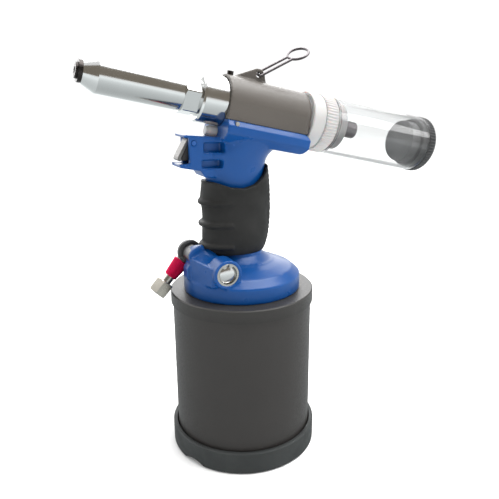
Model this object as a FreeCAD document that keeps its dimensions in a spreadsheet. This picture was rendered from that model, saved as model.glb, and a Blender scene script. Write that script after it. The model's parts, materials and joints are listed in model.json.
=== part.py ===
"""Pneumatic rivet gun (hydro-pneumatic blind riveter), standing on its air cylinder.

Origin: centre of the underside of the rubber cup. +Z runs up the air cylinder and the handle, +X runs
from the nose towards the collecting bottle, -Y is the side with the air valve's plug. Millimetres.

Compressed air lifts the air piston in the wide cylinder. Its thin ram pushes oil up the handle into the
head, where the oil drives the pulling piston backwards. Jaws in front of that piston grip the stem of
the rivet, and the broken stem travels through a tube into the bottle.

Each part is made in one of a few local frames:
  stand    the object's own frame
  axial    local Z runs backwards along the head's axis, with 0 above the origin (used for turned parts)
  side     local X runs backwards along the head's axis and local Z is square to it (used for outlines)
"""
import FreeCAD, Part
import math
import operator
import os

import Sketcher
from FreeCAD import Placement, Rotation, Vector

SIZES = {
    # whole object
    "head_tilt": 12.2,            # the nose points up by this many degrees
    "nose_height": 267.8,         # height of the head's axis above the origin
    "gap": 0.3,                   # clearance between pieces that move past each other
    # rubber cup and air cylinder
    "cup_radius": 58.0,
    "cup_height": 17.8,
    "cup_floor": 4.0,
    "tube_radius": 54.0,
    "tube_bore": 51.0,
    "cap_radius": 55.5,
    "cap_bottom": 121.7,
    "cap_top": 131.5,
    "cap_spigot": 116.0,
    "piston_bottom": 16.0,
    "piston_thickness": 14.0,
    "ram_radius": 7.0,
    "ram_top": 150.0,
    "ram_tube_radius": 10.0,
    "ram_tube_top": 222.0,
    "screw_circle": 34.0,
    # blue bell housing with its valve and air inlet
    "bell_radius": 45.0,
    "bell_wall_top": 143.0,
    "bell_top": 161.0,
    "valve_across": -26.5,
    "valve_height": 153.9,
    "valve_face": 36.0,
    "plug_radius": 8.2,
    "spool_bore": 5.4,
    "inlet_across": -38.4,
    "inlet_height": 160.8,
    "inlet_face": 4.0,
    "elbow_radius": 9.3,
    "elbow_near": 8.2,
    "elbow_far": 14.2,
    "hose_slope": 47.2,           # degrees below the horizontal
    "neck_radius": 3.8,
    "sleeve_start": 9.1,
    "sleeve_end": 23.8,
    "connector_start": 28.8,
    "connector_end": 40.0,
    "connector_flats": 13.0,
    "thread_radius": 4.3,
    # handle and grip
    "grip_centre": -4.3,
    "grip_depth": 26.6,
    "grip_width": 19.0,
    "core_depth": 21.5,
    "core_width": 14.5,
    "core_top": 204.0,
    "head_width": 22.6,
    "ledge_width": 19.4,
    "block_width": 10.0,
    "channel_width": 5.6,
    "trigger_width": 10.0,
    "trigger_pin_x": -39.4,
    "trigger_pin_z": 244.0,
    "rod_height": 236.0,
    "plug_width": 4.2,            # oil plug under the collar
    "plug_drop": -21.6,
    # head, measured along its axis
    "collar_radius": 17.2,
    "barrel_radius": 17.2,
    "barrel_bore": 14.0,
    "barrel_front": -14.0,
    "rod_radius": 8.6,
    "pull_piston_front": -0.5,
    "pull_piston_rear": 11.5,
    "nose_joint": -33.8,
    "spigot_in_collar": 11.5,
    "nose_radius": 12.1,
    "nose_bore": 9.0,
    "nose_flats": 25.0,
    "nose_corner": 14.2,
    "nose_flats_start": -45.6,
    "nose_cone_start": -111.5,
    "nose_cone_end": -102.5,
    "nose_tip_radius": 7.3,
    "stem_radius": 2.3,
    "catch_radius": 6.5,
    "catch_end": 101.0,
    # shell over the head
    "cover_radius": 19.3,
    "cover_wall": 1.7,
    "cover_front": -15.4,
    "cover_rear": 51.5,
    "cover_edge": -11.4,
    "fin_thickness": 3.0,
    "hanger_along": 10.2,
    "hanger_up": 23.9,
    "bleed_along": -11.4,
    "wire_radius": 0.95,
    "leg_offset": 2.9,
    "loop_radius": 7.8,
    "loop_centre": 36.0,
    "hanger_slope": 24.0,         # degrees above the horizontal
    "hanger_twist": 20.0,         # the wire is bent a little about its own length
    # stem collector
    "adaptor_end": 62.0,
    "spigot_radius": 17.6,
    "spigot_end": 84.0,
    "ring_radius": 22.0,
    "ring_end": 73.0,
    "bottle_front_radius": 21.6,
    "bottle_rear_radius": 22.3,
    "bottle_wall": 1.8,
    "bottle_end": 163.6,
    "lid_radius": 22.7,
    "lid_end": 173.0,
}

doc = FreeCAD.newDocument("rivet_gun")
sheet = doc.addObject("Spreadsheet::Sheet", "Sizes")
for row, (alias, value) in enumerate(SIZES.items(), start=1):
    sheet.set(f"A{row}", alias)
    sheet.set(f"B{row}", str(value))
    sheet.setAlias(f"B{row}", alias)
doc.recompute()

OPERATIONS = {"+": operator.add, "-": operator.sub, "*": operator.mul, "/": operator.truediv}


class Length:
    """A size as a number, together with the expression that keeps a property bound to the sheet."""

    def __init__(self, value, text):
        self.value = value
        self.text = text

    def combine(self, sign, other):
        other = as_length(other)
        return Length(OPERATIONS[sign](self.value, other.value), f"({self.text} {sign} {other.text})")

    def __add__(self, other):
        return self.combine("+", other)

    def __sub__(self, other):
        return self.combine("-", other)

    def __mul__(self, other):
        return self.combine("*", other)

    def __neg__(self):
        return Length(-self.value, f"(-1 * {self.text})")


def as_length(size):
    """A plain number becomes a Length that is bound to no cell."""
    return size if isinstance(size, Length) else Length(float(size), f"({float(size)})")


def cell(alias):
    """The driving dimension of that name."""
    return Length(SIZES[alias], f"Sizes.{alias}")


def bind(item, path, size):
    item.setExpression(path, as_length(size).text)


PARTS = {}


def keep(label, item):
    """Record a finished part under the name of its file."""
    item.Label = label
    PARTS[label] = item
    return item


# ------------------------------------------------------------------ frames

def put(item, across, along_y, up, axis, angle):
    """Place an item inside a compound, with its position and its angle in degrees bound to the sheet."""
    holder = doc.addObject("Part::Compound", "Placed")
    holder.Links = [item]
    angle = as_length(angle)
    holder.Placement = Placement(Vector(0, 0, 0), Rotation(axis, angle.value))
    for name, size in (("x", across), ("y", along_y), ("z", up)):
        bind(holder, f"Placement.Base.{name}", size)
    holder.setExpression("Placement.Rotation.Angle", f"{angle.text} * 1 deg")
    return holder


Y_AXIS = Vector(0, 1, 0)
X_AXIS = Vector(1, 0, 0)
Z_AXIS = Vector(0, 0, 1)
QUARTER_TURN = 90.0


def stand(item):
    return item


def axial(item):
    return put(item, 0, 0, cell("nose_height"), Y_AXIS, cell("head_tilt") + QUARTER_TURN)


def side(item):
    return put(item, 0, 0, cell("nose_height"), Y_AXIS, cell("head_tilt"))


def valve(item):
    """Local Z runs out of the air valve's bore, towards -Y."""
    return put(item, cell("valve_across"), 0, cell("valve_height"), X_AXIS, QUARTER_TURN)


def inlet(item):
    """Local Z runs out of the inlet boss along the swivel's axis, towards +Y."""
    return put(item, cell("inlet_across"), 0, cell("inlet_height"), X_AXIS, -QUARTER_TURN)


def hose(item):
    """Local Z runs down the hose fitting, away from the elbow."""
    middle = (cell("elbow_near") + cell("elbow_far")) * 0.5
    return put(item, cell("inlet_across"), middle, cell("inlet_height"), Y_AXIS,
               -cell("hose_slope") - QUARTER_TURN)


def trigger_pin_frame(item):
    return put(item, cell("trigger_pin_x"), 0, cell("trigger_pin_z"), X_AXIS, QUARTER_TURN)


def rod_frame(item):
    """Local Z runs backwards behind the trigger, at the height of its rod."""
    return put(item, 0, 0, cell("rod_height"), Y_AXIS, QUARTER_TURN)


# ------------------------------------------------------------------ shapes

def cylinder(radius, start, end, across=0.0, along_y=0.0):
    item = doc.addObject("Part::Cylinder", "Cylinder")
    bind(item, "Radius", radius)
    bind(item, "Height", as_length(end) - start)
    bind(item, "Placement.Base.x", across)
    bind(item, "Placement.Base.y", along_y)
    bind(item, "Placement.Base.z", start)
    return item


def cone(first, last, start, end):
    item = doc.addObject("Part::Cone", "Cone")
    bind(item, "Radius1", first)
    bind(item, "Radius2", last)
    bind(item, "Height", as_length(end) - start)
    bind(item, "Placement.Base.z", start)
    return item


def block(low, high):
    """A box between two corners, each given as three sizes."""
    item = doc.addObject("Part::Box", "Box")
    for name, size, first, last in zip("xyz", ("Length", "Width", "Height"), low, high):
        bind(item, size, as_length(last) - first)
        bind(item, f"Placement.Base.{name}", first)
    return item


def hexagon(flats, start, end):
    """A six-sided bar measured across its flats."""
    item = doc.addObject("Part::Prism", "Prism")
    item.Polygon = 6
    bind(item, "Circumradius", as_length(flats) * (1 / math.sqrt(3)))
    bind(item, "Height", as_length(end) - start)
    bind(item, "Placement.Base.z", start)
    return item


def join(items):
    if len(items) == 1:
        return items[0]
    fused = doc.addObject("Part::MultiFuse", "Fuse")
    fused.Shapes = items
    fused.Refine = True
    return fused


def cut(base, tools):
    if not tools:
        return base
    result = doc.addObject("Part::Cut", "Cut")
    result.Base = base
    result.Tool = join(tools)
    result.Refine = True
    return result


def common(first, second):
    result = doc.addObject("Part::Common", "Common")
    result.Base = first
    result.Tool = second
    return result


def turn_step(step):
    """Three sizes make a cylinder (radius, start, end), and four a cone (radius, radius, start, end)."""
    return cylinder(*step) if len(step) == 3 else cone(*step)


def turned(label, steps, bores, frame=stand, extra=(), cuts=()):
    """A part made of stacked cylinders and cones, bored out, on the local Z axis of its frame."""
    solid = join([turn_step(step) for step in steps] + list(extra))
    bored = cut(solid, [turn_step(bore) for bore in bores] + list(cuts))
    return keep(label, frame(bored))


def group(label, items):
    """Several separate solids that share one node."""
    compound = doc.addObject("Part::Compound", "Compound")
    compound.Links = items
    return keep(label, compound)


def new_body(name):
    return doc.addObject("PartDesign::Body", name)


def new_sketch(body, role, offset=0.0):
    """A sketch on one of the body's own origin planes, moved along that plane's normal."""
    sketch = body.newObject("Sketcher::SketchObject", "Sketch")
    plane = [feature for feature in body.Origin.OriginFeatures if feature.Role == role][0]
    sketch.AttachmentSupport = [(plane, "")]
    sketch.MapMode = "FlatFace"
    bind(sketch, "AttachmentOffset.Base.z", offset)
    return sketch


def fix_point(sketch, index, position, point):
    """Tie a point of the sketch to the sheet in both directions."""
    for kind, size in zip(("DistanceX", "DistanceY"), point):
        number = sketch.addConstraint(
            Sketcher.Constraint(kind, -1, 1, index, position, as_length(size).value))
        sketch.renameConstraint(number, f"{kind}_{index}_{position}")
        bind(sketch, f"Constraints.{kind}_{index}_{position}", size)


def outline(sketch, points):
    """A closed outline of straight lines through the points."""
    corners = [Vector(as_length(a).value, as_length(b).value, 0) for a, b in points]
    count = len(corners)
    for index in range(count):
        sketch.addGeometry(Part.LineSegment(corners[index], corners[(index + 1) % count]), False)
    for index in range(count):
        sketch.addConstraint(Sketcher.Constraint("Coincident", index, 2, (index + 1) % count, 1))
        fix_point(sketch, index, 1, points[index])
    return sketch


def circle(sketch, centre, radius):
    middle = Vector(as_length(centre[0]).value, as_length(centre[1]).value, 0)
    index = sketch.addGeometry(Part.Circle(middle, Vector(0, 0, 1), as_length(radius).value), False)
    fix_point(sketch, index, 3, centre)
    number = sketch.addConstraint(Sketcher.Constraint("Radius", index, as_length(radius).value))
    sketch.renameConstraint(number, f"Radius_{index}")
    bind(sketch, f"Constraints.Radius_{index}", radius)
    return sketch


def pad(body, sketch, length, both_ways=False):
    feature = body.newObject("PartDesign::Pad", "Pad")
    feature.Profile = sketch
    bind(feature, "Length", length)
    if both_ways:
        feature.SideType = "Symmetric"
    doc.recompute()
    return feature


def pocket(body, sketch, length, both_ways=False, reverse=False):
    """A pocket that has to remove material."""
    before = body.Shape.Volume
    feature = body.newObject("PartDesign::Pocket", "Pocket")
    feature.Profile = sketch
    bind(feature, "Length", length)
    feature.Reversed = reverse
    if both_ways:
        feature.SideType = "Symmetric"
    doc.recompute()
    if body.Shape.Volume > before - 0.1:
        raise RuntimeError(f"a pocket of {body.Name} removes nothing")
    return feature


def round_off(body, kind, size, wanted):
    """Fillet or chamfer every edge of the body's tip that the test function wants."""
    tip = body.Tip
    names = [f"Edge{number}" for number, edge in enumerate(tip.Shape.Edges, start=1) if wanted(edge)]
    if not names:
        raise RuntimeError(f"no edge of {body.Name} to round")
    feature = body.newObject(f"PartDesign::{kind}", kind)
    feature.Base = (tip, names)
    bind(feature, "Radius" if kind == "Fillet" else "Size", size)
    doc.recompute()
    return feature


def side_plate(points, width):
    """An outline in the XZ plane, as thick as width and centred on it."""
    body = new_body("Plate")
    pad(body, outline(new_sketch(body, "XZ_Plane"), points), width, both_ways=True)
    return body


def edge_at(axis, value, direction=None):
    """A test for edges that lie in the plane where one coordinate has the value."""
    tolerance = 0.05

    def wanted(edge):
        box = edge.BoundBox
        low, high = getattr(box, f"{axis}Min"), getattr(box, f"{axis}Max")
        flat = abs(low - value) < tolerance and abs(high - value) < tolerance
        if not flat or direction is None:
            return flat
        lengths = {"X": box.XLength, "Y": box.YLength, "Z": box.ZLength}
        return lengths[direction] > tolerance and max(lengths, key=lengths.get) == direction
    return wanted


def coil(radius, wire, start, end, turns, label, frame):
    """A helical spring with its wire inside the given ends."""
    body = new_body("Coil")
    sketch = circle(new_sketch(body, "XZ_Plane"), (radius, as_length(start) + wire), wire)
    doc.recompute()
    helix = body.newObject("PartDesign::AdditiveHelix", "Helix")
    helix.Profile = sketch
    helix.ReferenceAxis = (sketch, ["V_Axis"])
    height = as_length(end) - start - wire * 2
    bind(helix, "Height", height)
    bind(helix, "Pitch", height * (1 / turns))
    return keep(label, frame(body))


# ------------------------------------------------------------------ air cylinder

def make_base_cup():
    """Rubber cup; two arched vents open under its wall, on opposite sides."""
    arch_radius = 17.0
    arches = []
    for heading in (-157.0, 23.0):
        arch = doc.addObject("Part::Cylinder", "Arch")
        arch.Radius = arch_radius
        arch.Height = 14.0
        turn = Rotation(Vector(0, 0, 1), heading) * Rotation(Y_AXIS, QUARTER_TURN)
        outwards = turn.multVec(Vector(0, 0, 50))
        arch.Placement = Placement(outwards + Vector(0, 0, SIZES["cup_floor"] - arch_radius), turn)
        arches.append(arch)
    radius, height = cell("cup_radius"), cell("cup_height")
    walls = [cone(radius - 1, radius, 0, 1), cylinder(radius, 1, height - 1),
             cone(radius, radius - 1, height - 1, height)]
    cup = cut(join(walls), [cylinder(cell("tube_radius") + 1, cell("cup_floor"), height)])
    for arch in arches:
        cup = cut(cup, [arch])
    keep("base_cup", cup)


def make_air_cylinder():
    bore, top, spigot = cell("tube_bore"), cell("cap_top"), cell("cap_spigot")
    bottom = cell("cup_floor") + 0.2
    turned("cylinder_tube", [(cell("tube_radius"), bottom, cell("cap_bottom"))],
           [(bore, bottom, cell("cap_bottom"))])
    vents = [cylinder(3, 8, 13, across, along) for across in (-30, 30) for along in (-30, 30)]
    turned("bottom_plate", [(bore, 8, 13)], [(3, 8, 13)], cuts=vents)
    turned("bottom_ring", [(bore, 5.5, 8)], [(bore - 3.5, 5.5, 8)])
    gland = 12.0
    screws = [cylinder(2.5, spigot, top, *centre) for centre in screw_centres()]
    hollows = [tube_between(18, 28.5, spigot, 125), tube_between(39.5, 47, spigot, 125)]
    radius = cell("cap_radius")
    turned("cylinder_cap",
           [(bore, spigot, cell("cap_bottom")), (radius, cell("cap_bottom"), top - 0.8),
            (radius, radius - 0.8, top - 0.8, top)],
           [(gland, spigot, top)], cuts=screws + hollows)
    ram_hole = cell("ram_radius") + cell("gap")
    turned("ram_gland", [(gland, spigot, top)],
           [(ram_hole, spigot, top), (9.6, spigot + 6, spigot + 9)])
    turned("ram_seal", [(9.6, spigot + 6, spigot + 9)], [(ram_hole, spigot + 6, spigot + 9)])


def tube_between(inner, outer, start, end):
    return cut(cylinder(outer, start, end), [cylinder(inner, start, end)])


def screw_centres():
    """Four screws on a circle around the gland."""
    return [(cell("screw_circle") * math.cos(angle), cell("screw_circle") * math.sin(angle))
            for angle in (math.pi / 4 + quarter * math.pi / 2 for quarter in range(4))]


def make_cap_screws():
    """Socket screws that clamp the cap and the bell housing together from below."""
    spigot, top = cell("cap_spigot"), cell("cap_top")
    screws = []
    for centre in screw_centres():
        body = join([cylinder(4.5, spigot - 4, spigot, *centre), cylinder(2.5, spigot, top + 6, *centre)])
        screws.append(cut(body, [cylinder(2, spigot - 4, spigot - 1.5, *centre)]))
    group("cap_screws", screws)


def make_air_piston():
    bottom = cell("piston_bottom")
    top = bottom + cell("piston_thickness")
    radius = cell("tube_bore") - 0.5
    groove = radius - 3
    turned("air_piston",
           [(radius, bottom, bottom + 5), (groove, bottom + 5, bottom + 9), (radius, bottom + 9, top)],
           [(5, bottom, top)])
    turned("piston_ring", [(radius + 0.2, bottom + 5, bottom + 9)], [(groove, bottom + 5, bottom + 9)])
    turned("hydraulic_ram", [(5, bottom - 2.1, top), (cell("ram_radius"), top, cell("ram_top"))], [])
    turned("piston_nut", [], [(5, bottom - 2, bottom)], extra=[hexagon(14, bottom - 2, bottom)])


def make_ram_tube():
    top = cell("ram_tube_top")
    turned("ram_tube", [(cell("ram_tube_radius"), cell("cap_top"), top)],
           [(cell("ram_radius") + cell("gap"), cell("cap_top"), top - 3), (2, top - 3, top)])


# ------------------------------------------------------------------ bell housing, valve and inlet

def make_bell_housing():
    """Blue casting: low bell with a boss for the air valve, a boss for the air inlet and a ramp between."""
    low, rim, top = cell("cap_top"), cell("bell_wall_top"), cell("bell_top")
    face = cell("valve_face")
    valve_boss = [cylinder(10.6, 20.5, face), cylinder(6.9, -7.8, 20.5)]
    bosses = valve(join(valve_boss))
    inlet_boss = inlet(cylinder(6.2, -6, cell("inlet_face")))
    inlet_root = put(side_plate([(-44.4, cell("inlet_height")), (-44, 156), (-46.5, 152), (-46.5, 144),
                                 (-32, 144), (-32, cell("inlet_height"))], 10), 0, -1, 0, Z_AXIS, 0)
    bores = valve(join([cylinder(cell("plug_radius"), 28, face), cylinder(cell("spool_bore"), -6, 28)]))
    screw_holes = [cylinder(2.5, low, low + 6.5, *centre) for centre in screw_centres()]
    thread = inlet(cylinder(4.5, -4.8, cell("inlet_face")))
    elbow_room = inlet(cylinder(cell("elbow_radius") + 0.5, cell("elbow_near") - 0.3, 20))
    ram_hole = cylinder(cell("ram_tube_radius"), low, top)
    hollow = tube_between(14, 28.5, low, 141)
    radius = cell("bell_radius")
    bell = [cylinder(radius, low, rim), cone(radius, radius - 1.4, rim, rim + 1),
            cone(radius - 1.4, 39, rim + 1, 148), cone(39, 31, 148, 151.5), cone(31, 24, 151.5, 154),
            cylinder(24, 154, top)]
    solid = join(bell + [bosses, inlet_boss, inlet_root, make_ramp()])
    keep("bell_housing", cut(solid, screw_holes + [bores, thread, elbow_room, ram_hole, hollow]))


def make_ramp():
    """Web of the bell casting that falls from the inlet boss to the valve boss."""
    ramp = doc.addObject("Part::Wedge", "Ramp")
    ramp.Xmin, ramp.Xmax, ramp.X2min, ramp.X2max = -37, -17, -44, -32
    ramp.Ymin, ramp.Ymax = -31, -5.9
    ramp.Zmin, ramp.Zmax, ramp.Z2min, ramp.Z2max = 144, 158.5, 144, 160.8
    return ramp


def make_air_valve():
    face, bore = cell("valve_face"), cell("spool_bore")
    plug = cell("plug_radius")
    ear_places = [(across, plug - 2.2) for across in (-2.3, 2.3)]
    notches = [cylinder(1.4, face - 2, face, *centre) for centre in ear_places]
    turned("valve_plug", [(plug, 28, face - 2), (plug - 1.7, plug - 2.5, face - 2, face - 0.8)], [], valve,
           cuts=notches)
    ring = cut(cylinder(plug, face - 2, face - 0.9), [cylinder(plug - 1.3, face - 2, face - 0.9),
                                                      block((-1.2, 4, face - 2), (1.2, 10, face))])
    ears = [cylinder(1.3, face - 2, face - 0.9, *centre) for centre in ear_places]
    keep("plug_circlip", valve(join([ring] + ears)))
    turned("valve_sleeve", [(bore, -6, 28)], [(bore - 1.5, -6, 28)], valve)
    land, waist = bore - 1.9, bore - 3.2
    turned("valve_spool",
           [(land, -5.5, -1.5), (waist, -1.5, 3.5), (land, 3.5, 8.5), (waist, 8.5, 14.5), (land, 14.5, 20)], [], valve)
    coil(bore - 2.6, as_length(0.5), 20.1, 27.9, 4, "spool_spring", valve)


def make_air_inlet():
    """Hub in the boss, swivelling elbow, slide sleeve and hexagonal hose connector."""
    face, near, far = cell("inlet_face"), cell("elbow_near"), cell("elbow_far")
    radius, gap = cell("elbow_radius"), cell("gap")
    turned("inlet_hub", [(4.5, -4.8, face), (5.5, face, near - gap), (4.0, near - gap, near + 4.3)],
           [(2.5, -4.8, near + 4.3)], inlet)
    ring = inlet(join([cone(radius - 1.2, radius, near, near + 1.2), cylinder(radius, near + 1.2, far - 1.8),
                       cone(radius, radius - 2.6, far - 1.8, far)]))
    stub = hose(cylinder(5.0, 6.3, 8.9))
    hub_socket = inlet(cylinder(as_length(4.0) + gap, near - 1, near + 4.6))
    neck_socket = hose(cylinder(cell("neck_radius"), 6, 14))
    passage = hose(cylinder(2.5, 0, 8))
    keep("inlet_elbow", cut(join([ring, stub]), [hub_socket, neck_socket, passage]))
    start, end = cell("connector_start"), cell("connector_end")
    sleeve_start, sleeve_end = cell("sleeve_start"), cell("sleeve_end")
    turned("inlet_neck", [(cell("neck_radius"), 6, start)], [(2.5, 6, start)], hose)
    turned("shutoff_sleeve", [(6.4, 4.9, sleeve_start, sleeve_end)],
           [(cell("neck_radius") + gap, sleeve_start, sleeve_end)], hose)
    flats = cell("connector_flats")
    corners = join([cone(flats * 0.48, flats * 0.58, start, start + 1.4),
                    cylinder(flats * 0.58, start + 1.4, end - 1.4),
                    cone(flats * 0.58, flats * 0.48, end - 1.4, end)])
    turned("hose_connector", [], [(2.5, start, start + 3.2), (cell("thread_radius"), start + 3.2, end)],
           hose, extra=[common(hexagon(flats, start, end), corners)])


# ------------------------------------------------------------------ handle, grip and trigger

def ellipse(depth, width, height, centre):
    item = doc.addObject("Part::Ellipse", "Ellipse")
    bind(item, "MajorRadius", depth)
    bind(item, "MinorRadius", width)
    bind(item, "Placement.Base.x", centre)
    bind(item, "Placement.Base.z", height)
    return item


def loft(sections):
    item = doc.addObject("Part::Loft", "Loft")
    item.Sections = [ellipse(*section) for section in sections]
    item.Solid = True
    return item


def make_core():
    """The straight part of the handle, inside the rubber grip."""
    depth, width, centre = cell("core_depth"), cell("core_width"), cell("grip_centre")
    return loft([(depth, width, cell("bell_top"), centre), (depth, width, cell("core_top"), centre)])


def make_neck():
    """The handle widens upwards, towards the head."""
    depth, width, centre = cell("core_depth"), cell("core_width"), cell("grip_centre")
    return loft([(depth, width, cell("core_top"), centre), (depth + 0.5, width + 0.8, 212, centre - 0.2),
                 (depth + 1.2, width + 1.8, 219, centre - 0.4), (depth + 2.3, width + 3.0, 226, centre - 0.7),
                 (25.5, 18.8, 232, centre), (28.5, 20, 237, -1.0), (30.5, 21, 242, 2.5), (30.5, 21, 247.5, 4)])


def make_cradle():
    """Head of the casting, under the shell: ledges along both sides, cut back at the lower rear."""
    body = new_body("Cradle")
    front, rear = cell("cover_front"), cell("cover_rear")
    ledge, wide, edge = cell("ledge_width"), cell("head_width"), cell("cover_edge")
    half = [(ledge, edge), (wide, edge - 3.7), (wide, -20.6), (17.5, -26.2)]
    points = half + [(-as_length(across), up) for across, up in reversed(half)]
    pad(body, outline(new_sketch(body, "YZ_Plane", front), points), rear - front)
    round_off(body, "Fillet", 5.0, edge_at("X", SIZES["cover_rear"], "Y"))
    return side(body)


def make_handle_body():
    """Blue casting of head, handle and trigger block."""
    block_side = cell("block_width")
    trigger_block = side_plate(
        [(-46.2, 249.8), (-21, 247.3), (-18, 219.4), (-31.3, 219.4), (-34.9, 224.4), (-49.6, 227.4),
         (-49.8, 229.8)], block_side * 2)
    solid = join([make_cradle(), make_core(), make_neck(), trigger_block])
    channel = cell("channel_width")
    bore = axial(cylinder(cell("barrel_radius"), cell("barrel_front"), 60))
    collar = axial(cylinder(cell("collar_radius") + 0.1, -60, 0))
    openings = [
        bore,
        collar,
        cylinder(cell("ram_tube_radius"), cell("bell_top"), cell("ram_tube_top")),
        cylinder(2, cell("ram_tube_top"), 252, -4),
        block((-60, -channel, 229.2), (-33, channel, 247.9)),
        block((-60, -20, 229.8), (-42.5, 20, 247.9)),
        put(cylinder(1.6, -13, 13), cell("trigger_pin_x"), 0, cell("trigger_pin_z"), X_AXIS, QUARTER_TURN),
        rod_frame(cylinder(1.9, -34, -19)),
        side(put_along(cylinder(cell("plug_width"), -4.7, 4), -18.6, cell("plug_drop"))),
        side(put_along(cylinder(2, 0, 12), -18, cell("plug_drop"))),
    ]
    recess_floor = block_side - 3.2
    for low, high in ((-60, -recess_floor), (recess_floor, 60)):
        openings.append(block((-32.2, low, 236.9), (-18.4, high, 243.8)))
        openings.append(block((-33.9, low, 226.0), (-19.4, high, 231.8)))
    pins = [side_cross_pin(1.4, low, high) for low, high in ledge_pin_spans()]
    keep("handle_body", cut(solid, openings + pins))


def put_along(item, along, up):
    """Turn an item to lie along the head's axis, starting at a place in the side frame."""
    return put(item, along, 0, up, Y_AXIS, QUARTER_TURN)


def ledge_pin_spans():
    """Both ledges, from inside the casting's wall to just proud of it."""
    return ((-22.4, -18.2), (18.2, 22.4))


def side_cross_pin(radius, low, high):
    """A pin across the casting, low in front under the shell's edge."""
    return side(put(cylinder(radius, low, high), -9.0, 0, -13.4, X_AXIS, QUARTER_TURN))


def make_small_fittings():
    group("ledge_pins", [side_cross_pin(1.4, low, high) for low, high in ledge_pin_spans()])
    head = cell("plug_width")
    plug = join([cylinder(2, 4, 12.6), cylinder(head, -1.6, 4), cone(head - 1.2, head, -4.6, -1.6)])
    keep("oil_plug", side(put_along(plug, -18.6, cell("plug_drop"))))


def make_grip_sleeve():
    """Rubber sleeve, lower at the sides than at the back, with three finger ribs in front."""
    depth, width, centre = cell("grip_depth"), cell("grip_width"), cell("grip_centre")
    low = cell("bell_top")
    outside = loft([(depth - 3.6, width - 2.2, low, centre - 0.9),
                    (depth - 1.8, width - 0.8, low + 4, centre - 1.0), (depth, width, 178, centre),
                    (depth + 0.4, width, 196, centre + 0.4), (depth - 1.2, width - 0.6, 229, centre - 1.0)])
    ribs = []
    for height in (167.8, 184.2, 200.4):
        rib = loft([(depth + 0.4, width - 0.4, height - 1.8, centre - 1.6),
                    (depth + 1.3, width + 0.4, height, centre - 1.6),
                    (depth + 0.4, width - 0.4, height + 1.8, centre - 1.6)])
        ribs.append(common(rib, block((-40, -25, height - 3), (-14, 25, height + 3))))
    above = side_plate([(-40, 216), (-27, 215.5), (-16, 212), (-5, 211), (4, 213), (12, 218), (18, 225),
                        (22, 226.5), (30, 226.5), (30, 240), (-40, 240)], 60)
    keep("grip_sleeve", cut(join([outside] + ribs), [join([make_core(), make_neck()]), above]))


def make_trigger():
    """Bright finger plate on a black lever, hinged near its top, and the rod that it pushes."""
    width = cell("trigger_width")
    lever = side_plate([(-39.6, 246.9), (-36.9, 246.9), (-36.9, 241.4), (-38.9, 233.4), (-43.5, 231.7),
                        (-47.0, 231.7), (-47.0, 234.0)], width)
    pin_hole = put(cylinder(1.9, -13, 13), cell("trigger_pin_x"), 0, cell("trigger_pin_z"), X_AXIS,
                   QUARTER_TURN)
    keep("trigger_lever", cut(lever, [pin_hole]))
    plate = side_plate([(-39.6, 246.9), (-47.0, 234.0), (-47.0, 231.7), (-48.8, 231.6), (-50.0, 232.8),
                        (-49.3, 235.0), (-42.0, 246.9)], width)
    keep("trigger_plate", plate)
    turned("trigger_pin", [(1.6, -10.3, 10.3)], [], trigger_pin_frame)
    turned("trigger_rod", [(1.6, -37.9, -22)], [], rod_frame)


# ------------------------------------------------------------------ head

def make_head_cylinder():
    """Chrome collar in front and the oil cylinder behind it, in one piece."""
    joint, barrel = cell("nose_joint"), cell("barrel_front")
    rear = cell("cover_rear") - 2.5
    collar = cell("collar_radius")
    bleed = put_along_up(cylinder(1.2, 12, 20), cell("bleed_along"))
    turned("head_cylinder",
           [(collar - 1.2, collar, joint, joint + 1.2), (collar, joint + 1.2, barrel),
            (cell("barrel_radius"), barrel, rear)],
           [(cell("spigot_in_collar"), joint, joint + 10), (cell("rod_radius") + 0.1, joint + 10, -4),
            (cell("barrel_bore"), -4, rear)], axial, cuts=[bleed])


def put_along_up(item, along):
    """Turn an item square to the head's axis, pointing up out of it, in the axial frame."""
    return put(item, 0, 0, along, Y_AXIS, -QUARTER_TURN)


def make_nose():
    joint, radius, start = cell("nose_joint"), cell("nose_radius"), cell("nose_cone_start")
    corner, cone_end, flats_start = cell("nose_corner"), cell("nose_cone_end"), cell("nose_flats_start")
    tip, spigot = cell("nose_tip_radius"), cell("spigot_in_collar")
    spanner_turn = 21.0
    bar = put(hexagon(cell("nose_flats"), flats_start, joint - 0.9), 0, 0, 0, Z_AXIS, spanner_turn)
    corners = join([cone(corner - 0.8, corner, flats_start, flats_start + 0.8),
                    cylinder(corner, flats_start + 0.8, joint - 0.9)])
    turned("nose_sleeve",
           [(tip + 0.3, radius, start, cone_end), (radius, cone_end, flats_start + 0.1),
            (radius + 0.4, joint - 1.0, joint), (spigot, joint, joint + 8)],
           [(4.6, start, start + 14), (cell("nose_bore"), start + 14, joint + 8)], axial,
           extra=[common(bar, corners)])
    hole = cell("stem_radius")
    turned("nosepiece",
           [(4.8, 5.2, start - 4.2, start - 3.8), (5.2, start - 3.8, start - 2.6), (tip, start - 2.6, start),
            (4.6, start, start + 14.2), (3.4, 2.8, start + 14.2, start + 16.5)],
           [(hole, start - 4.2, start + 16.5)], axial)


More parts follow.
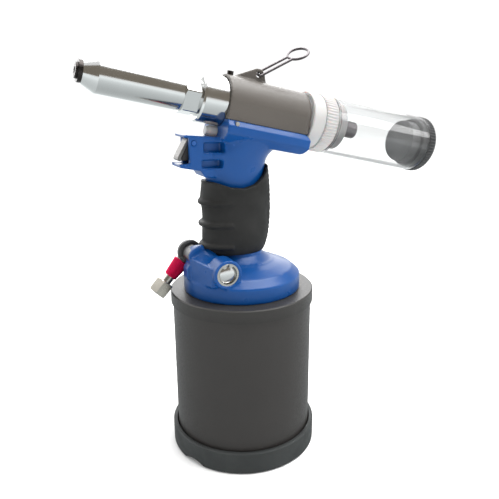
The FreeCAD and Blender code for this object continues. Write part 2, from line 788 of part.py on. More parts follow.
def make_pulling_head():
    """Hydraulic piston with its rod, the collet in front and the stem tube behind."""
    front, rear = cell("pull_piston_front"), cell("pull_piston_rear")
    radius = cell("barrel_bore") - 0.3
    rod, stem = cell("rod_radius"), cell("stem_radius")
    turned("pull_piston",
           [(4.6, -52, -40), (rod, -40, front), (radius, front, front + 4),
            (radius - 2.5, front + 4, front + 7.5), (radius, front + 7.5, rear)],
           [(stem + 0.5, -52, rear - 5.5), (5.6, rear - 5.5, rear)], axial)
    turned("pull_seal", [(radius + 0.1, front + 4, front + 7.5)],
           [(radius - 2.5, front + 4, front + 7.5)], axial)
    turned("catch_tube", [(5.6, rear - 5.5, rear), (cell("catch_radius"), rear, cell("catch_end"))],
           [(4.4, rear - 5.5, cell("catch_end"))], axial)
    turned("jaw_case", [(rod, -93, -40)],
           [(3.0, -93, -91.5), (3.0, 5.0, -91.5, -80), (5.0, -80, -52), (4.6, -52, -40)], axial)


def make_jaws():
    """Three jaws in the cone of their case, the pusher behind them and its spring."""
    stem = cell("stem_radius")
    slits = []
    for third in range(3):
        slits.append(put(block((0, -0.4, -93), (8, 0.4, -79)), 0, 0, 0, Vector(0, 0, 1), 120 * third))
    turned("jaws", [(2.75, 4.6, -90.6, -80.4)], [(stem - 0.4, -91, -80)], axial, cuts=slits)
    turned("jaw_pusher", [(4.0, 4.6, -80.1, -78.5), (4.6, -78.5, -72), (3.6, -72, -68)],
           [(stem, -81, -68)], axial)
    coil(as_length(4.05), as_length(0.4), -71.9, -52.2, 8, "pusher_spring", axial)


def make_head_rear():
    """Return spring, rear gland and its seal."""
    bore, rear = cell("barrel_bore"), cell("cover_rear") - 2.5
    catch_hole = cell("catch_radius") + cell("gap")
    coil(as_length(11.0), as_length(0.8), cell("pull_piston_rear") + 0.1, 41.9, 5, "head_spring", axial)
    turned("rear_gland", [(bore, 42, rear), (cell("barrel_radius"), rear, cell("cover_rear"))],
           [(catch_hole, 42, cell("cover_rear")), (9.0, 44, 46.5)], axial)
    turned("gland_seal", [(9.0, 44, 46.5)], [(catch_hole, 44, 46.5)], axial)


# ------------------------------------------------------------------ shell and hanger

def make_top_cover():
    """Arched shell over the head with a hanger fin along its top."""
    body = new_body("TopCover")
    front, rear = cell("cover_front"), cell("cover_rear")
    radius, edge = cell("cover_radius"), cell("cover_edge")
    wall = cell("cover_wall")
    arch_pad(body, radius, edge, front, rear - front)
    round_off(body, "Fillet", 4.5, edge_at("X", SIZES["cover_rear"]))
    arch_pocket(body, radius - wall, edge, front + wall, rear - front - wall * 2)
    fin = side_plate([(-8.6, 17.9), (-8.6, 19.4), (8.2, 28.0), (12.4, 28.0), (15.2, 24.7), (17.4, 17.9)],
                     cell("fin_thickness"))
    through = join([cylinder_along(cell("collar_radius") + 0.1, -30, 0),
                    cylinder_along(cell("barrel_radius"), 0, 60)])
    hanger_hole = doc.addObject("Part::Cylinder", "HangerHole")
    hanger_hole.Radius = 2.0
    hanger_hole.Height = 20.0
    hanger_hole.Placement = Placement(Vector(0, 10, 0), Rotation(X_AXIS, QUARTER_TURN))
    bind(hanger_hole, "Placement.Base.x", cell("hanger_along"))
    bind(hanger_hole, "Placement.Base.z", cell("hanger_up"))
    bleed_hole = cylinder(1.3, 15, 30, cell("bleed_along"))
    hollow_below = cylinder_along(cell("barrel_radius") + 0.1, -15, 49.4)
    shell = join([body, cut(fin, [hollow_below])])
    keep("top_cover", side(cut(shell, [through, hanger_hole, bleed_hole])))


def arch_outline(sketch, radius, edge):
    """A half circle on two straight sides, closed along the bottom."""
    reach = as_length(radius)
    arc = Part.ArcOfCircle(Part.Circle(Vector(0, 0, 0), Vector(0, 0, 1), reach.value), 0, math.pi)
    sketch.addGeometry(arc, False)
    corners = [(-reach, as_length(0)), (-reach, edge), (reach, edge), (reach, as_length(0))]
    for first, last in zip(corners, corners[1:]):
        line = Part.LineSegment(Vector(first[0].value, first[1].value, 0),
                                Vector(last[0].value, last[1].value, 0))
        sketch.addGeometry(line, False)
    sketch.addConstraint(Sketcher.Constraint("Coincident", 0, 3, -1, 1))
    for first, second, start in ((0, 1, 2), (1, 2, 2), (2, 3, 2)):
        sketch.addConstraint(Sketcher.Constraint("Coincident", first, start, second, 1))
    sketch.addConstraint(Sketcher.Constraint("Coincident", 3, 2, 0, 1))
    for index, corner in ((1, corners[0]), (2, corners[1]), (3, corners[2])):
        fix_point(sketch, index, 1, corner)
    sketch.addConstraint(Sketcher.Constraint("PointOnObject", 0, 1, -1))
    return sketch


def arch_pad(body, radius, edge, start, length):
    return pad(body, arch_outline(new_sketch(body, "YZ_Plane", start), radius, edge), length)


def arch_pocket(body, radius, edge, start, length):
    sketch = arch_outline(new_sketch(body, "YZ_Plane", start), radius, as_length(edge) - 1)
    return pocket(body, sketch, length, reverse=True)


def cylinder_along(radius, start, end):
    """A cylinder along the local X axis."""
    item = doc.addObject("Part::Cylinder", "Along")
    bind(item, "Radius", radius)
    bind(item, "Height", as_length(end) - start)
    item.Placement = Placement(Vector(0, 0, 0), Rotation(Y_AXIS, QUARTER_TURN))
    bind(item, "Placement.Base.x", start)
    return item


def make_bleed_screw():
    along = cell("bleed_along")
    top = cell("cover_radius")
    steps = [cylinder(1.2, 12, top, along), cylinder(2.3, top, top + 2.6, along)]
    keep("bleed_screw", side(cut(join(steps), [cylinder(1.0, top + 1.2, top + 4, along)])))


def make_hanger_wire():
    """Closed wire eye on two legs, hooked through the fin."""
    wire, offset, middle = cell("wire_radius"), cell("leg_offset"), cell("loop_centre")
    reach = middle - math.sqrt(SIZES["loop_radius"] ** 2 - SIZES["leg_offset"] ** 2)
    pieces = []
    for sign in (-1, 1):
        leg = doc.addObject("Part::Cylinder", "Leg")
        bind(leg, "Radius", wire)
        bind(leg, "Height", reach)
        leg.Placement = Placement(Vector(0, 0, 0), Rotation(Y_AXIS, QUARTER_TURN))
        bind(leg, "Placement.Base.y", offset * sign)
        bend = doc.addObject("Part::Sphere", "Bend")
        bind(bend, "Radius", wire)
        bind(bend, "Placement.Base.y", offset * sign)
        pieces += [leg, bend]
    cross = doc.addObject("Part::Cylinder", "Cross")
    bind(cross, "Radius", wire)
    bind(cross, "Height", offset * 2)
    cross.Placement = Placement(Vector(0, 0, 0), Rotation(X_AXIS, QUARTER_TURN))
    bind(cross, "Placement.Base.y", offset)
    eye = doc.addObject("Part::Torus", "Eye")
    bind(eye, "Radius1", cell("loop_radius"))
    bind(eye, "Radius2", wire)
    bind(eye, "Placement.Base.x", middle)
    twisted = put(join(pieces + [cross, eye]), 0, 0, 0, X_AXIS, cell("hanger_twist"))
    raised = put(twisted, cell("hanger_along"), 0, cell("hanger_up"), Y_AXIS,
                 -cell("hanger_slope") - cell("head_tilt"))
    keep("hanger_wire", side(raised))


# ------------------------------------------------------------------ stem collector

def make_collector():
    """Adaptor, locking ring, clear bottle and its lid, all round the head's axis."""
    rear, end = cell("cover_rear"), cell("adaptor_end")
    spigot, spigot_end = cell("spigot_radius"), cell("spigot_end")
    bore = cell("catch_radius") + 2.5
    turned("bottle_adaptor",
           [(20.2, rear, rear + 0.6), (20.6, rear + 0.6, end), (spigot, end, spigot_end - 1),
            (spigot, spigot - 1, spigot_end - 1, spigot_end)],
           [(bore, rear, spigot_end), (spigot - 2.5, end + 4, spigot_end)], axial)
    gap = cell("gap")
    ring, ring_end = cell("ring_radius"), cell("ring_end")
    turned("lock_ring",
           [(ring - 0.8, ring, end + gap, end + gap + 0.8), (ring, end + gap + 0.8, ring_end - 0.8),
            (ring, ring - 0.8, ring_end - 0.8, ring_end)],
           [(spigot + 0.4, end + gap, ring_end)], axial)
    front, back = cell("bottle_front_radius"), cell("bottle_rear_radius")
    wall, bottle_end = cell("bottle_wall"), cell("bottle_end")
    bottle_start = ring_end + gap
    turned("collector_bottle", [(front, back, bottle_start, bottle_end)],
           [(spigot + 0.4, bottle_start, bottle_start + 2.7),
            (front - wall, back - wall, bottle_start + 2.7, bottle_end)], axial)
    lid, lid_end = cell("lid_radius"), cell("lid_end")
    turned("bottle_lid",
           [(back - wall - 0.6, bottle_end - 5, bottle_end + 0.4), (lid, bottle_end + 0.4, lid_end - 1.6),
            (lid, lid - 2.0, lid_end - 1.6, lid_end)],
           [(8, bottle_end - 5, bottle_end - 1)], axial)
    turned("lid_plug", [(16.8, bottle_end - 13.5, bottle_end - 5), (8, bottle_end - 5, bottle_end - 1)],
           [], axial)


# ------------------------------------------------------------------ build, test and write

make_base_cup()
make_air_cylinder()
make_cap_screws()
make_air_piston()
make_ram_tube()
make_bell_housing()
make_air_valve()
make_air_inlet()
make_handle_body()
make_small_fittings()
make_grip_sleeve()
make_trigger()
make_head_cylinder()
make_nose()
make_pulling_head()
make_jaws()
make_head_rear()
make_top_cover()
make_bleed_screw()
make_hanger_wire()
make_collector()
doc.recompute()

for item in doc.Objects:
    if "Invalid" in item.State or "Error" in item.State:
        raise RuntimeError(f"{item.Name} ({item.Label}) failed: {item.State}")

os.makedirs("parts", exist_ok=True)
for label, item in PARTS.items():
    shape = item.Shape
    if shape.isNull() or not shape.isValid() or shape.Volume <= 0:
        raise RuntimeError(f"{label} has no valid shape")
    shape.exportStep(f"parts/{label}.step")
    print(f"{label}: {len(shape.Solids)} solid(s), {shape.Volume:.0f} mm3, {shape.BoundBox}")
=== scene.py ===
"""Looks of the pneumatic rivet gun: procedural finishes on the CAD pieces, with detailed pieces for the
castings, the rubber grip, the shell, the knurled rings, the air inlet and the valve plug, and copies of the
springs.

Everything is in metres, in the object's own frame. Places and sizes come from the CAD frame."""
import json
import math

import bmesh
import bpy
from mathutils import Matrix, Vector


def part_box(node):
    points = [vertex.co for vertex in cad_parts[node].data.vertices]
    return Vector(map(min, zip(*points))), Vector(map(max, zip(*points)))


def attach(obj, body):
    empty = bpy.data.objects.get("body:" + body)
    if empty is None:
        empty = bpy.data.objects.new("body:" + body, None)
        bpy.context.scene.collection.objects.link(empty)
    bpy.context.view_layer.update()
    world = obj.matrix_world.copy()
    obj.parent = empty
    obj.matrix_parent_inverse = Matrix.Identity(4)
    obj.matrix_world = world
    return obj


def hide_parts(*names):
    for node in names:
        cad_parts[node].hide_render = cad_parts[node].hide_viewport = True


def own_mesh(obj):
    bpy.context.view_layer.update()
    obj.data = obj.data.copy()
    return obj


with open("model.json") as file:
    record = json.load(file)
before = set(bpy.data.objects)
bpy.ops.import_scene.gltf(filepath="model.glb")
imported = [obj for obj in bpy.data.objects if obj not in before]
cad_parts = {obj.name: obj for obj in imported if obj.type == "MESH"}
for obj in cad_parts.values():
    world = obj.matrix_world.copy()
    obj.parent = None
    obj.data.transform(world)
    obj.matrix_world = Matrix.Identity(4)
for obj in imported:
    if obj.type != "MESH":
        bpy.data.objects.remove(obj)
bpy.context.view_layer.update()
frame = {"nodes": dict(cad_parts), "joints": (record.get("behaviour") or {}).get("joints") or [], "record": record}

MM = 0.001
NODES = frame["nodes"]
JOINTS = {joint["name"]: joint for joint in frame["joints"]}


# ---------------------------------------------------------------- places read from the frame

def joint_place(name):
    return Vector(JOINTS[name]["pos_m"])


def joint_axis(name):
    return Vector(JOINTS[name]["axis"]).normalized()


HEAD_AXIS = joint_axis("head_pull")
HEAD_UP = Vector((0, 1, 0)).cross(-HEAD_AXIS).normalized()
HOSE_AXIS = joint_axis("sleeve_slide")


def axis_frame(origin, along, up):
    """Local Z runs along the axis, local X as near as can be to the up direction."""
    along = along.normalized()
    across = along.cross(up).normalized()
    up = across.cross(along)
    return Matrix.Translation(origin) @ Matrix((up, across, along)).transposed().to_4x4()


HEAD = axis_frame(joint_place("lock_ring_turn"), HEAD_AXIS, HEAD_UP)


def span(node, place):
    """Lowest and highest reach of a node along an axis, and its largest radius about that axis."""
    inverse = place.inverted()
    points = [inverse @ vertex.co for vertex in NODES[node].data.vertices]
    along = [point.z for point in points]
    return min(along), max(along), max(math.hypot(point.x, point.y) for point in points)


# ---------------------------------------------------------------- materials

class Finish:
    """A procedural material with its Principled shader and a few helpers to link textures into it."""

    def __init__(self, name, color, roughness, metallic=0.0):
        self.material = bpy.data.materials.new(name)
        self.material.use_nodes = True
        self.tree = self.material.node_tree
        self.shader = self.tree.nodes["Principled BSDF"]
        self.set("Base Color", (*color, 1.0))
        self.set("Roughness", roughness)
        self.set("Metallic", metallic)
        self.color = color
        self.place = self.tree.nodes.new("ShaderNodeTexCoord").outputs["Object"]

    def set(self, socket, value):
        self.shader.inputs[socket].default_value = value
        return self

    def link(self, source, target):
        self.tree.links.new(source, target)

    def stretched(self, scale):
        """Object coordinates, squeezed or stretched along each axis."""
        mapping = self.tree.nodes.new("ShaderNodeMapping")
        mapping.inputs["Scale"].default_value = scale
        self.link(self.place, mapping.inputs["Vector"])
        return mapping.outputs["Vector"]

    def noise(self, scale, detail=4.0, stretch=(1, 1, 1), distortion=0.0):
        node = self.tree.nodes.new("ShaderNodeTexNoise")
        node.inputs["Scale"].default_value = scale
        node.inputs["Detail"].default_value = detail
        node.inputs["Distortion"].default_value = distortion
        self.link(self.stretched(stretch), node.inputs["Vector"])
        return node.outputs["Fac"]

    def cells(self, scale, stretch=(1, 1, 1)):
        node = self.tree.nodes.new("ShaderNodeTexVoronoi")
        node.inputs["Scale"].default_value = scale
        self.link(self.stretched(stretch), node.inputs["Vector"])
        return node.outputs["Distance"]

    def rim(self):
        """High where the surface turns away from the view: the mask for the painted grey shade at a clear wall's
        edges.
        """
        node = self.tree.nodes.new("ShaderNodeLayerWeight")
        node.inputs["Blend"].default_value = 0.3
        return node.outputs["Facing"]

    def nearness(self, reach):
        """One at the object's origin, falling to nothing at the given reach."""
        node = self.tree.nodes.new("ShaderNodeTexGradient")
        node.gradient_type = "SPHERICAL"
        self.link(self.stretched((1 / reach, 1 / reach, 1 / reach)), node.inputs["Vector"])
        return node.outputs["Fac"]

    def mapped(self, source, low, high, start=0.3, end=0.7):
        node = self.tree.nodes.new("ShaderNodeMapRange")
        for socket, value in (("From Min", start), ("From Max", end), ("To Min", low), ("To Max", high)):
            node.inputs[socket].default_value = value
        self.link(source, node.inputs["Value"])
        return node.outputs["Result"]

    def vary_roughness(self, source, low, high):
        self.link(self.mapped(source, low, high), self.shader.inputs["Roughness"])
        return self

    def vary_color(self, source, other, start=0.3, end=0.7, factor=1.0):
        """The base colour drifts towards another one where the texture is high."""
        mix = self.tree.nodes.new("ShaderNodeMix")
        mix.data_type = "RGBA"
        mix.inputs["A"].default_value = (*self.color, 1.0)
        mix.inputs["B"].default_value = (*other, 1.0)
        self.link(self.mapped(source, 0.0, factor, start, end), mix.inputs["Factor"])
        self.link(mix.outputs["Result"], self.shader.inputs["Base Color"])
        return self

    def wear(self, other, amount):
        """Edges that hands and tools rub are a little lighter."""
        geometry = self.tree.nodes.new("ShaderNodeNewGeometry")
        edge = self.mapped(geometry.outputs["Pointiness"], 0.0, amount, 0.52, 0.60)
        mix = self.tree.nodes.new("ShaderNodeMix")
        mix.data_type = "RGBA"
        base = self.shader.inputs["Base Color"]
        if base.is_linked:
            self.link(base.links[0].from_socket, mix.inputs["A"])
        else:
            mix.inputs["A"].default_value = base.default_value
        mix.inputs["B"].default_value = (*other, 1.0)
        self.link(edge, mix.inputs["Factor"])
        self.link(mix.outputs["Result"], base)
        return self

    def bump(self, layers):
        """Each layer is a texture, its strength and its height in metres."""
        normal = None
        for source, strength, height in layers:
            node = self.tree.nodes.new("ShaderNodeBump")
            node.inputs["Strength"].default_value = strength
            node.inputs["Distance"].default_value = height
            self.link(source, node.inputs["Height"])
            if normal is not None:
                self.link(normal, node.inputs["Normal"])
            normal = node.outputs["Normal"]
        self.link(normal, self.shader.inputs["Normal"])
        return self


def rubber_finish(name, color, grain=2600.0):
    """Moulded rubber: fine matt grain and faint cloudy wear."""
    finish = Finish(name, color, 0.6)
    finish.set("Specular IOR Level", 0.25)
    finish.vary_roughness(finish.noise(90, 5), 0.52, 0.72)
    finish.vary_color(finish.noise(35, 6), [c * 1.5 + 0.004 for c in color])
    finish.wear([c * 2.2 + 0.01 for c in color], 0.5)
    return finish.bump([(finish.noise(grain, 3), 0.35, 0.00012), (finish.noise(160, 3), 0.25, 0.0003)])


def powder_coat(name, color):
    """Satin powder coat: a sharp fine grain over a smooth metal wall."""
    finish = Finish(name, color, 0.45)
    finish.set("Specular IOR Level", 0.3)
    finish.vary_roughness(finish.noise(700, 3), 0.36, 0.5)
    finish.vary_color(finish.noise(18, 5), [c * 1.18 for c in color])
    finish.wear([c * 1.8 + 0.01 for c in color], 0.4)
    return finish.bump([(finish.noise(2200, 2), 0.28, 0.0001), (finish.cells(900), 0.1, 0.0001)])


def enamel(name, color, dark):
    """Gloss paint over a casting, with a slight orange peel and cloudy patches of darker paint."""
    finish = Finish(name, color, 0.3)
    finish.set("Coat Weight", 0.05).set("Coat Roughness", 0.10).set("Specular IOR Level", 0.28)
    finish.vary_roughness(finish.noise(60, 4), 0.26, 0.4)
    finish.vary_color(finish.noise(14, 4), dark, factor=0.5)
    finish.wear([c * 1.4 + 0.03 for c in color], 0.35)
    return finish.bump([(finish.noise(420, 2), 0.10, 0.0003), (finish.noise(60, 3), 0.12, 0.0006)])


def polished(name, color, low=0.09, high=0.17):
    """Chrome plate with faint smears and long shallow waves."""
    finish = Finish(name, color, low, 1.0)
    finish.vary_roughness(finish.noise(45, 6, (1, 1, 2)), low, high)
    finish.vary_color(finish.noise(25, 4), [c * 0.9 for c in color])
    return finish.bump([(finish.noise(30, 2), 0.05, 0.0006)])


def machined(name, color, low, high, stretch=(1, 1, 30)):
    """Turned or drawn metal, with fine lines."""
    finish = Finish(name, color, low, 1.0)
    lines = finish.noise(60, 5, stretch)
    finish.vary_roughness(lines, low, high)
    finish.vary_color(finish.noise(120, 4), [c * 0.8 for c in color])
    return finish.bump([(lines, 0.15, 0.0001), (finish.noise(1500, 2), 0.08, 0.00005)])


def dull_plastic(name, color):
    finish = Finish(name, color, 0.42)
    finish.vary_roughness(finish.noise(140, 4), 0.36, 0.5)
    finish.vary_color(finish.noise(60, 4), [c * 1.5 + 0.003 for c in color])
    finish.wear([c * 2.0 + 0.02 for c in color], 0.4)
    return finish.bump([(finish.noise(1400, 3), 0.2, 0.0001)])


def clear_plastic(name):
    """Clear moulded plastic with faint flow lines and handling marks."""
    finish = Finish(name, (0.95, 0.96, 0.96), 0.03)
    finish.set("Transmission Weight", 1.0).set("IOR", 1.46)
    finish.vary_roughness(finish.noise(70, 5), 0.02, 0.09)
    # Painted shade: the clear plastic's colour turns grey towards its edges, where the surface turns away from the
    # view.
    finish.vary_color(finish.rim(), (0.42, 0.43, 0.43), 0.55, 0.98)
    return finish.bump([(finish.noise(24, 3), 0.06, 0.0006), (finish.noise(500, 2), 0.03, 0.0001)])


def frosted_plastic(name, color):
    """Pale plastic that lets a little light through."""
    finish = Finish(name, color, 0.35)
    finish.set("Subsurface Weight", 0.25).set("Subsurface Scale", 0.004)
    finish.vary_roughness(finish.noise(90, 4), 0.28, 0.42)
    finish.vary_color(finish.noise(40, 4), [c * 0.94 for c in color])
    return finish.bump([(finish.noise(900, 3), 0.12, 0.0001)])


FINISHES = {
    "rubber": rubber_finish("grip_rubber", (0.009, 0.009, 0.0085)),
    "cup_rubber": rubber_finish("cup_rubber", (0.015, 0.017, 0.017), 1900.0),
    "cylinder_grey": powder_coat("cylinder_coat", (0.017, 0.0155, 0.0145)),
    "cap_grey": powder_coat("cap_coat", (0.018, 0.017, 0.016)),
    "blue": enamel("blue_enamel", (0.0, 0.056, 0.225), (0.0, 0.032, 0.140)),
    "shell_grey": powder_coat("shell_coat", (0.072, 0.064, 0.056)),
    "chrome": polished("chrome_plate", (0.66, 0.665, 0.66)),
    "steel": machined("machined_steel", (0.50, 0.49, 0.46), 0.22, 0.36),
    "connector": machined("plated_connector", (0.50, 0.475, 0.42), 0.2, 0.34, (1, 1, 1)),
    "dark_steel": machined("blackened_steel", (0.045, 0.040, 0.038), 0.28, 0.42),
    "wire_steel": machined("wire_steel", (0.12, 0.11, 0.115), 0.28, 0.42),
    "trigger_steel": machined("trigger_steel", (0.24, 0.235, 0.23), 0.4, 0.55),
    "hub_steel": machined("hub_steel", (0.16, 0.16, 0.165), 0.35, 0.5),
    "aluminium": frosted_plastic("pale_plastic", (0.42, 0.415, 0.41)),
    "piston_metal": machined("piston_metal", (0.70, 0.70, 0.70), 0.25, 0.4),
    "red": machined("red_anodised", (0.60, 0.012, 0.075), 0.34, 0.5, (1, 1, 1)),
    "black_plastic": dull_plastic("black_plastic", (0.016, 0.016, 0.017)),
    "clear": clear_plastic("clear_plastic"),
    "brass": machined("brass", (0.62, 0.46, 0.20), 0.25, 0.38),
    "seal": rubber_finish("seal_rubber", (0.015, 0.015, 0.015)),
    "plug_rubber": rubber_finish("plug_rubber", (0.085, 0.085, 0.086)),
}
SPECIAL = {"base_cup": "cup_rubber", "hose_connector": "connector", "hanger_wire": "wire_steel",
           "lid_plug": "plug_rubber", "air_piston": "piston_metal", "rear_gland": "piston_metal",
           "bleed_screw": "dark_steel", "oil_plug": "aluminium", "catch_tube": "wire_steel",
           "trigger_pin": "blue"}


def paint(obj, finish):
    obj.data.materials.clear()
    obj.data.materials.append(FINISHES[finish].material)
    return obj


def paint_frame():
    """Every CAD node gets the finish of its material slot, or one of its own."""
    for part in frame["record"]["subparts"]:
        paint(NODES[part["node"]], SPECIAL.get(part["node"], part["material_slot"]))


# ---------------------------------------------------------------- mesh helpers

def add_piece(name, mesh, finish, body, replaced=(), smooth_angle=35.0):
    """Put a mesh in the scene as a piece of the object."""
    obj = bpy.data.objects.new(name, mesh)
    bpy.context.collection.objects.link(obj)
    mesh.shade_smooth()
    if smooth_angle:
        mesh.set_sharp_from_angle(angle=math.radians(smooth_angle))
    paint(obj, finish)
    if replaced:
        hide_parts(*replaced)
    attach(obj, body)
    return obj


def baked(mesh, modifiers):
    """The mesh after a list of (type, settings) modifiers."""
    obj = bpy.data.objects.new("work", mesh)
    bpy.context.collection.objects.link(obj)
    for kind, settings in modifiers:
        modifier = obj.modifiers.new(kind, kind)
        for key, value in settings.items():
            setattr(modifier, key, value)
    graph = bpy.context.evaluated_depsgraph_get()
    result = bpy.data.meshes.new_from_object(obj.evaluated_get(graph))
    bpy.data.objects.remove(obj)
    return result


def welded_copy(node):
    mesh = NODES[node].data.copy()
    if mesh.has_custom_normals:
        mesh.attributes.remove(mesh.attributes["custom_normal"])
    work = bmesh.new()
    work.from_mesh(mesh)
    bmesh.ops.remove_doubles(work, verts=work.verts, dist=1e-6)
    work.to_mesh(mesh)
    work.free()
    return mesh


def softened(node, name, finish, body, voxel, passes):
    """A cast or moulded piece: the CAD solid with every edge slightly rounded."""
    mesh = baked(welded_copy(node), [
        ("REMESH", {"mode": "VOXEL", "voxel_size": voxel}),
        ("SMOOTH", {"factor": 0.5, "iterations": passes}),
        ("DECIMATE", {"ratio": 0.5}),
    ])
    return add_piece(name, mesh, finish, body, (node,), 0)


def lathe_mesh(name, place, profile, segments=96, ribs=0, depth=0.0, sharpness=1.0):
    """A closed solid of revolution about local Z.

    A profile point is (radius, along), with a share of the rib's depth as a third number where the surface
    is ribbed."""
    columns = ribs * 8 if ribs else segments
    mesh_work = bmesh.new()
    rings = []
    for radius, along, *share in profile:
        ring = []
        for column in range(columns):
            angle = 2 * math.pi * column / columns
            valley = ((1 + math.cos(ribs * angle)) / 2) ** sharpness if ribs else 0.0
            reach = radius - depth * (share[0] if share else 0.0) * valley
            point = Vector((reach * math.cos(angle), reach * math.sin(angle), along))
            ring.append(mesh_work.verts.new(place @ point))
        rings.append(ring)
    closed = rings[1:] + rings[:1]
    for ring, following in zip(rings, closed):
        for column in range(columns):
            after = (column + 1) % columns
            mesh_work.faces.new((ring[column], ring[after], following[after], following[column]))
    bmesh.ops.recalc_face_normals(mesh_work, faces=mesh_work.faces)
    mesh = bpy.data.meshes.new(name)
    mesh_work.to_mesh(mesh)
    mesh_work.free()
    return mesh


# ---------------------------------------------------------------- castings, shell and grip

def build_castings():
    softened("handle_body", "handle_casting", "blue", "handle", 0.0006, 5)
    bell = softened("bell_housing", "bell_casting", "blue", "handle", 0.0007, 10)
    shape_bell(bell.data)
    softened("top_cover", "head_shell", "shell_grey", "handle", 0.0006, 3)
    grip = softened("grip_sleeve", "grip_rubber", "rubber", "handle", 0.0007, 6)
    shape_grip(grip.data)
    softened("trigger_lever", "trigger_wedge", "black_plastic", "trigger", 0.0003, 5)
    softened("trigger_plate", "trigger_face", "trigger_steel", "trigger", 0.0003, 6)


def ramp(value, start, length):
    """Rises from nothing at the start to one at the given length past it."""
    return min(max((value - start) / length, 0.0), 1.0)


def shape_bell(mesh):
    """The collar narrows up to the grip, and a soft hump joins it to the inlet boss."""
    middle = -3.0 * MM
    collar_foot, collar_rise = 153.5 * MM, 5.5 * MM
    collar_bore, collar_reach = 15 * MM, 24.6 * MM
    narrowing = 0.3
    hump = Vector((-29.0, -3.0)) * MM
    hump_foot, hump_height = 149 * MM, 7.0 * MM
    for vertex in mesh.vertices:
        point = vertex.co
        if point.z > collar_foot and collar_bore < math.hypot(point.x, point.y) < collar_reach:
            keep = 1 - narrowing * ramp(point.z, collar_foot, collar_rise)
            point.x = middle + (point.x - middle) * keep
            point.y *= keep
        if point.z > hump_foot:
            far = ((point.x - hump.x) / (5.0 * MM)) ** 2 + ((point.y - hump.y) / (4.5 * MM)) ** 2
            point.z += hump_height * math.exp(-far / 2)
    mesh.update()


def shape_grip(mesh):
    """The front draws in above the finger ribs, and the back has fine cross ridges for the palm."""
    middle, back = -4.3 * MM, 12 * MM
    narrowing = 0.13
    ridge_height, ridge_pitch = 0.4 * MM, 3.6 * MM
    for vertex in mesh.vertices:
        point = vertex.co
        if point.x < middle:
            rise = ramp(point.z, 202 * MM, 11 * MM)
            point.x = middle + (point.x - middle) * (1 - narrowing * rise)
        elif point.x > back:
            share = ramp(point.x, back, 8 * MM) * ramp(point.z, 166 * MM, 4 * MM)
            point.x += ridge_height * share * math.sin(2 * math.pi * point.z / ridge_pitch)
    mesh.update()


# ---------------------------------------------------------------- collector

def build_lock_ring():
    low, high, radius = span("lock_ring", HEAD)
    bore = radius - 4 * MM
    profile = [(bore, low), (radius - 1.0 * MM, low, 0), (radius, low + 0.8 * MM, 1),
               (radius, high - 0.8 * MM, 1), (radius - 1.0 * MM, high, 0), (bore, high)]
    mesh = lathe_mesh("lock_ring_knurl", HEAD, profile, ribs=60, depth=0.7 * MM, sharpness=1.5)
    add_piece("lock_ring_knurl", mesh, "aluminium", "locking_ring", ("lock_ring",), 50)


def build_lid():
    low, high, radius = span("bottle_lid", HEAD)
    centre = 0.2 * MM
    spigot = radius - 3.0 * MM
    shoulder = low + 5.6 * MM
    dish = high - 0.8 * MM
    profile = [(centre, low), (spigot, low), (spigot, shoulder - 0.3 * MM),
               (radius - 0.8 * MM, shoulder),
               (radius, shoulder + 0.8 * MM, 0.4), (radius, shoulder + 1.4 * MM, 1),
               (radius, high - 3.0 * MM, 1), (radius - 0.6 * MM, high - 2.2 * MM, 0.6),
               (radius - 2.0 * MM, high - 0.6 * MM, 0), (radius - 3.0 * MM, high, 0),
               (radius - 7.0 * MM, high), (radius - 7.6 * MM, dish), (centre, dish)]
    mesh = lathe_mesh("lid_knurl", HEAD, profile, ribs=56, depth=0.9 * MM, sharpness=1.6)
    add_piece("lid_knurl", mesh, "black_plastic", "lid", ("bottle_lid",), 50)


# ---------------------------------------------------------------- air inlet

def build_inlet_hub():
    """Grey hub between the inlet boss and the elbow."""
    place = axis_frame(joint_place("inlet_swivel"), Vector((0, -1, 0)), Vector((0, 0, 1)))
    low, high, radius = span("inlet_hub", place)
    bore = 2.5 * MM
    face = 15.5 * MM
    wide = 6.35 * MM
    profile = [(bore, low), (radius - 0.4 * MM, low), (radius, low + 0.4 * MM), (radius, 3.4 * MM),
               (wide, 3.4 * MM), (wide, face - 0.6 * MM), (wide - 0.6 * MM, face), (bore, face)]
    mesh = lathe_mesh("hub_collar", place, profile, segments=64)
    add_piece("hub_collar", mesh, "hub_steel", "handle", ("inlet_hub",), 40)


def build_shutoff_sleeve():
    place = axis_frame(joint_place("inlet_swivel"), HOSE_AXIS, Vector((0, 1, 0)))
    low, high, radius = span("shutoff_sleeve", place)
    bore = 4.1 * MM
    profile = [(bore, low), (radius - 0.5 * MM, low), (radius, low + 0.5 * MM, 0.2),
               (radius - 0.1 * MM, low + 1.2 * MM, 1), (radius - 1.3 * MM, high - 1.6 * MM, 1),
               (radius - 1.5 * MM, high - 0.5 * MM, 0), (radius - 1.9 * MM, high), (bore, high)]
    mesh = lathe_mesh("sleeve_knurl", place, profile, ribs=28, depth=0.35 * MM)
    add_piece("sleeve_knurl", mesh, "red", "slide_sleeve", ("shutoff_sleeve",), 50)


# ---------------------------------------------------------------- air valve's plug

def build_valve_plug():
    """Domed plug inside its retaining ring."""
    low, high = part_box("valve_plug")
    place = axis_frame(Vector(((low.x + high.x) / 2, 0, (low.z + high.z) / 2)), Vector((0, -1, 0)),
                       Vector((0, 0, 1)))
    back, front, radius = span("valve_plug", place)
    rim = front - 1.2 * MM
    dome = [(radius * 0.80 * math.cos(step), rim - 1.0 * MM + 2.2 * MM * math.sin(step))
            for step in (math.radians(10 * number) for number in range(9))]
    profile = [(0.1 * MM, back), (radius, back), (radius, rim), (radius * 0.84, rim)] + dome
    profile.append((0.1 * MM, front))
    mesh = lathe_mesh("plug_dome", place, profile, segments=64)
    add_piece("plug_dome", mesh, "chrome", "handle", ("valve_plug",), 40)


# ---------------------------------------------------------------- springs

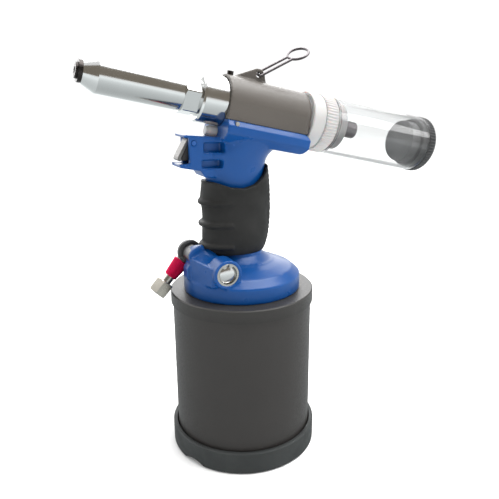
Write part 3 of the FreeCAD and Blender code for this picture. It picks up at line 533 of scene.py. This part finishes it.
def build_spring(node, name):
    """A coil spring: a copy of the CAD coil in machined steel, riding with the handle."""
    mesh = NODES[node].data.copy()
    spring = add_piece(name, mesh, "steel", "handle", (node,))
    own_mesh(spring)


# ---------------------------------------------------------------- stage

def glow(name, color, strength):
    """A black finish that gives off even light."""
    finish = Finish(name, (0.0, 0.0, 0.0), 1.0)
    return finish.set("Emission Color", (*color, 1.0)).set("Emission Strength", strength)


def add_stage():
    """Pale floor, soft lights, and cards seen only in polished metal or through clear plastic."""
    floor_finish = Finish("studio_floor", (0.97, 0.97, 0.965), 0.9)
    floor_finish.vary_color(floor_finish.noise(4, 3), (0.98, 0.98, 0.975))
    add_card("floor", 8.0, 8.0, Matrix.Translation((0, 0, -0.2 * MM)), floor_finish)
    pale = glow("floor_card", (0.93, 0.99, 1.0), 1.0)
    strength = pale.mapped(pale.nearness(0.9), 1.25, 0.64, 0.0, 0.9)
    pale.link(strength, pale.shader.inputs["Emission Strength"])
    in_metal = (add_card("card_front", 3.4, 1.15, look_from((-0.33, -0.84, 0.72)),
                         glow("front_card", (0.22, 0.19, 0.15), 1.0)),
                add_card("card_top", 3.4, 2.6, look_from((0.0, 1.0, 1.2)),
                         glow("top_card", (1.0, 1.0, 1.0), 3.2)),
                add_card("card_floor", 4.0, 4.0, Matrix.Translation((0, 0, 0.2 * MM)), pale))
    dark = glow("rim_card", (0.45, 0.45, 0.45), 1.0)
    in_clear = (add_card("card_rim_back", 3.4, 1.3, look_from((0.1, 0.85, 0.95)), dark),
                add_card("card_rim_floor", 1.1, 1.1, Matrix.Translation((0, 0, 0.4 * MM)), dark))
    for cards, other in ((in_metal, "visible_transmission"), (in_clear, "visible_glossy")):
        for card in cards:
            for hidden in ("visible_camera", "visible_diffuse", "visible_shadow", other):
                setattr(card, hidden, False)
    world = bpy.data.worlds.new("studio")
    bpy.context.scene.world = world
    world.use_nodes = True
    background = world.node_tree.nodes["Background"]
    background.inputs["Color"].default_value = (1, 1, 1, 1)
    background.inputs["Strength"].default_value = 1.06
    add_light("top", (0.4, -0.1, 1.3), 1.0, 24.0)
    add_light("key", (1.0, -0.7, 0.8), 0.5, 3.0)
    add_light("back", (0.4, 1.0, 0.9), 0.9, 6.0)
    bpy.context.scene.view_settings.view_transform = "Standard"


TARGET = Vector((0.0, 0.0, 0.16))


def look_from(position):
    """A place that faces the object's middle."""
    position = Vector(position)
    turn = (TARGET - position).to_track_quat("-Z", "Y")
    return Matrix.Translation(position) @ turn.to_matrix().to_4x4()


def add_card(name, width, height, place, finish):
    mesh = bpy.data.meshes.new(name)
    corners = [(-width / 2, -height / 2, 0), (width / 2, -height / 2, 0), (width / 2, height / 2, 0),
               (-width / 2, height / 2, 0)]
    mesh.from_pydata(corners, [], [(0, 1, 2, 3)])
    mesh.materials.append(finish.material)
    card = bpy.data.objects.new(name, mesh)
    bpy.context.collection.objects.link(card)
    card.matrix_world = place
    return card


def add_light(name, position, size, power):
    data = bpy.data.lights.new(name, "AREA")
    data.size = size
    data.energy = power
    light = bpy.data.objects.new(name, data)
    bpy.context.collection.objects.link(light)
    light.matrix_world = look_from(position)


def add_camera():
    """From the nose's side, a little above, with the head in the upper half of the view."""
    azimuth, pitch, roll = math.radians(-25.57), math.radians(-16.41), math.radians(-0.47)
    forward = Vector((-math.sin(azimuth) * math.cos(pitch), math.cos(azimuth) * math.cos(pitch),
                      math.sin(pitch)))
    right = forward.cross(Vector((0, 0, 1))).normalized()
    up = right.cross(forward)
    rolled_right = right * math.cos(roll) + up * math.sin(roll)
    rolled_up = up * math.cos(roll) - right * math.sin(roll)
    turn = Matrix((rolled_right, rolled_up, -forward)).transposed().to_4x4()
    data = bpy.data.cameras.new("camera")
    data.sensor_width = 36.0
    data.lens = 40.74
    camera = bpy.data.objects.new("camera", data)
    bpy.context.collection.objects.link(camera)
    camera.matrix_world = Matrix.Translation((-0.17496, -0.38040, 0.28325)) @ turn
    bpy.context.scene.camera = camera


paint_frame()
build_castings()
build_lock_ring()
build_lid()
build_inlet_hub()
build_shutoff_sleeve()
build_valve_plug()
build_spring("head_spring", "head_coil")
build_spring("spool_spring", "spool_coil")
add_stage()
add_camera()
